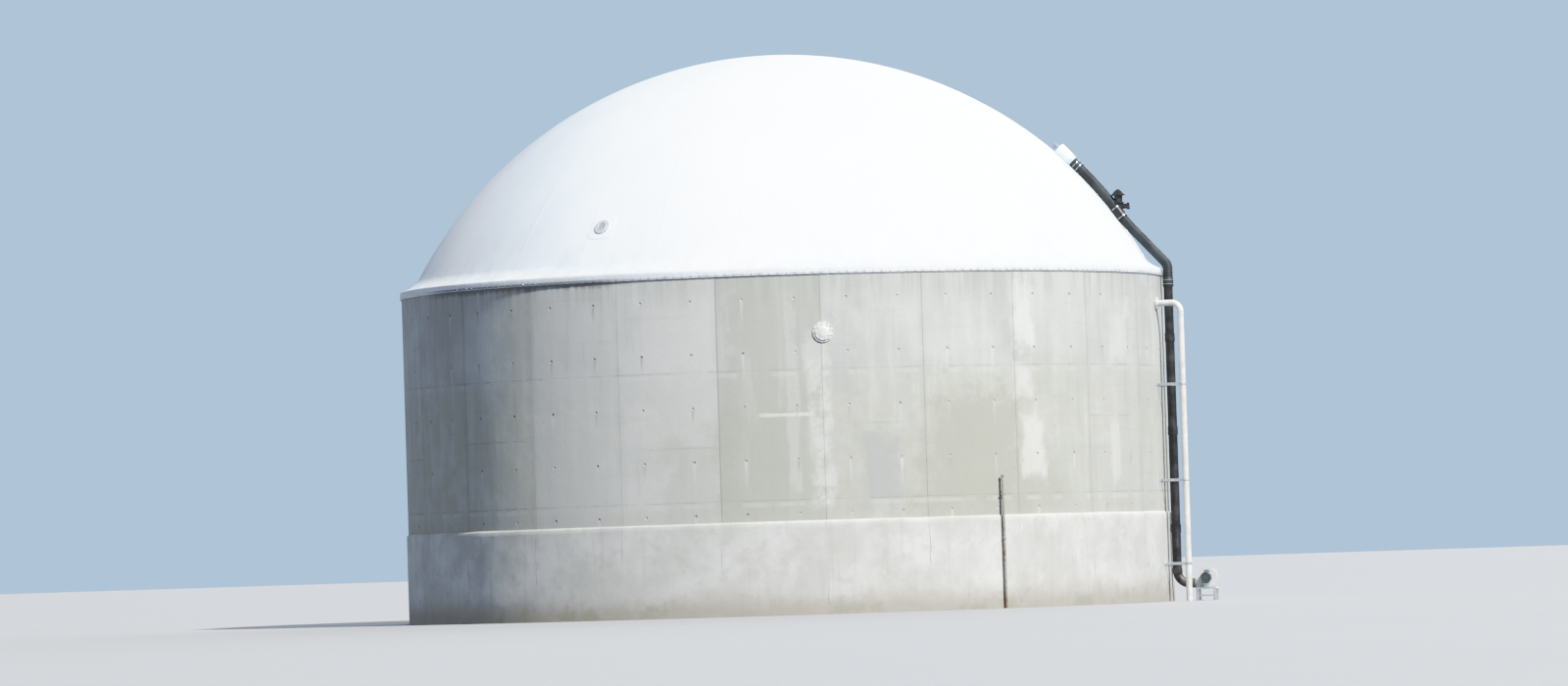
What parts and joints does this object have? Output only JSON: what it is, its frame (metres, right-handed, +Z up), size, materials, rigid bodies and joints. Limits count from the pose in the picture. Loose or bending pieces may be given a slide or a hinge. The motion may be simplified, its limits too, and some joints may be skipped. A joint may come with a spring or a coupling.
{
  "type": "biogas digester",
  "caption": "Round cast-concrete biogas digester tank with a white membrane gas dome, a support-air line with its blower, and a gas draw-off pipe.",
  "frame": {"origin": "on the tank's axis at ground level, the centre of the floor slab's underside", "axes": "+Z up along the tank's axis; -Y faces the picture's viewer; +X to the viewer's right, where the air line and the gas pipe run up the wall"},
  "size_m": [19.562, 18.6, 13.54],
  "materials": {
    "concrete": "cast, matt",
    "foot_render": "rendered, matt",
    "white_membrane": "satin",
    "galvanised_steel": "hot-dip galvanised",
    "black_plastic": "satin",
    "grey_hose": "ribbed, matt",
    "grey_plastic": "satin",
    "white_paint": "satin",
    "motor_paint": "satin",
    "rusty_steel": "rusted"
  },
  "bodies": {
    "root": {"air_hose": "grey_hose", "air_pipe": "black_plastic", "blower_housing": "white_paint", "blower_intake": "grey_plastic", "blower_motor": "motor_paint", "blower_stand": "galvanised_steel", "clamp_rail_01": "galvanised_steel", "clamp_rail_02": "galvanised_steel", "clamp_rail_03": "galvanised_steel", "clamp_rail_04": "galvanised_steel", "clamp_rail_05": "galvanised_steel", "clamp_rail_06": "galvanised_steel", "dome_membrane": "white_membrane", "floor_slab": "concrete", "foot_band_01": "foot_render", "foot_band_02": "foot_render", "foot_band_03": "foot_render", "foot_band_04": "foot_render", "foot_band_05": "foot_render", "foot_band_06": "foot_render", "gas_flange": "galvanised_steel", "gas_pipe": "white_paint", "inlet_cap": "grey_plastic", "inlet_collar": "white_membrane", "pipe_bracket_1": "galvanised_steel", "pipe_bracket_2": "galvanised_steel", "pipe_bracket_3": "galvanised_steel", "port_cover": "white_paint", "port_flange": "white_paint", "sight_window": "grey_plastic", "standpipe": "rusty_steel", "standpipe_clip": "rusty_steel", "wall_segment_01": "concrete", "wall_segment_02": "concrete", "wall_segment_03": "concrete", "wall_segment_04": "concrete", "wall_segment_05": "concrete", "wall_segment_06": "concrete", "wall_segment_07": "concrete", "wall_segment_08": "concrete", "wall_segment_09": "concrete", "wall_segment_10": "concrete", "wall_segment_11": "concrete", "wall_segment_12": "concrete"}
  },
  "joints": []
}
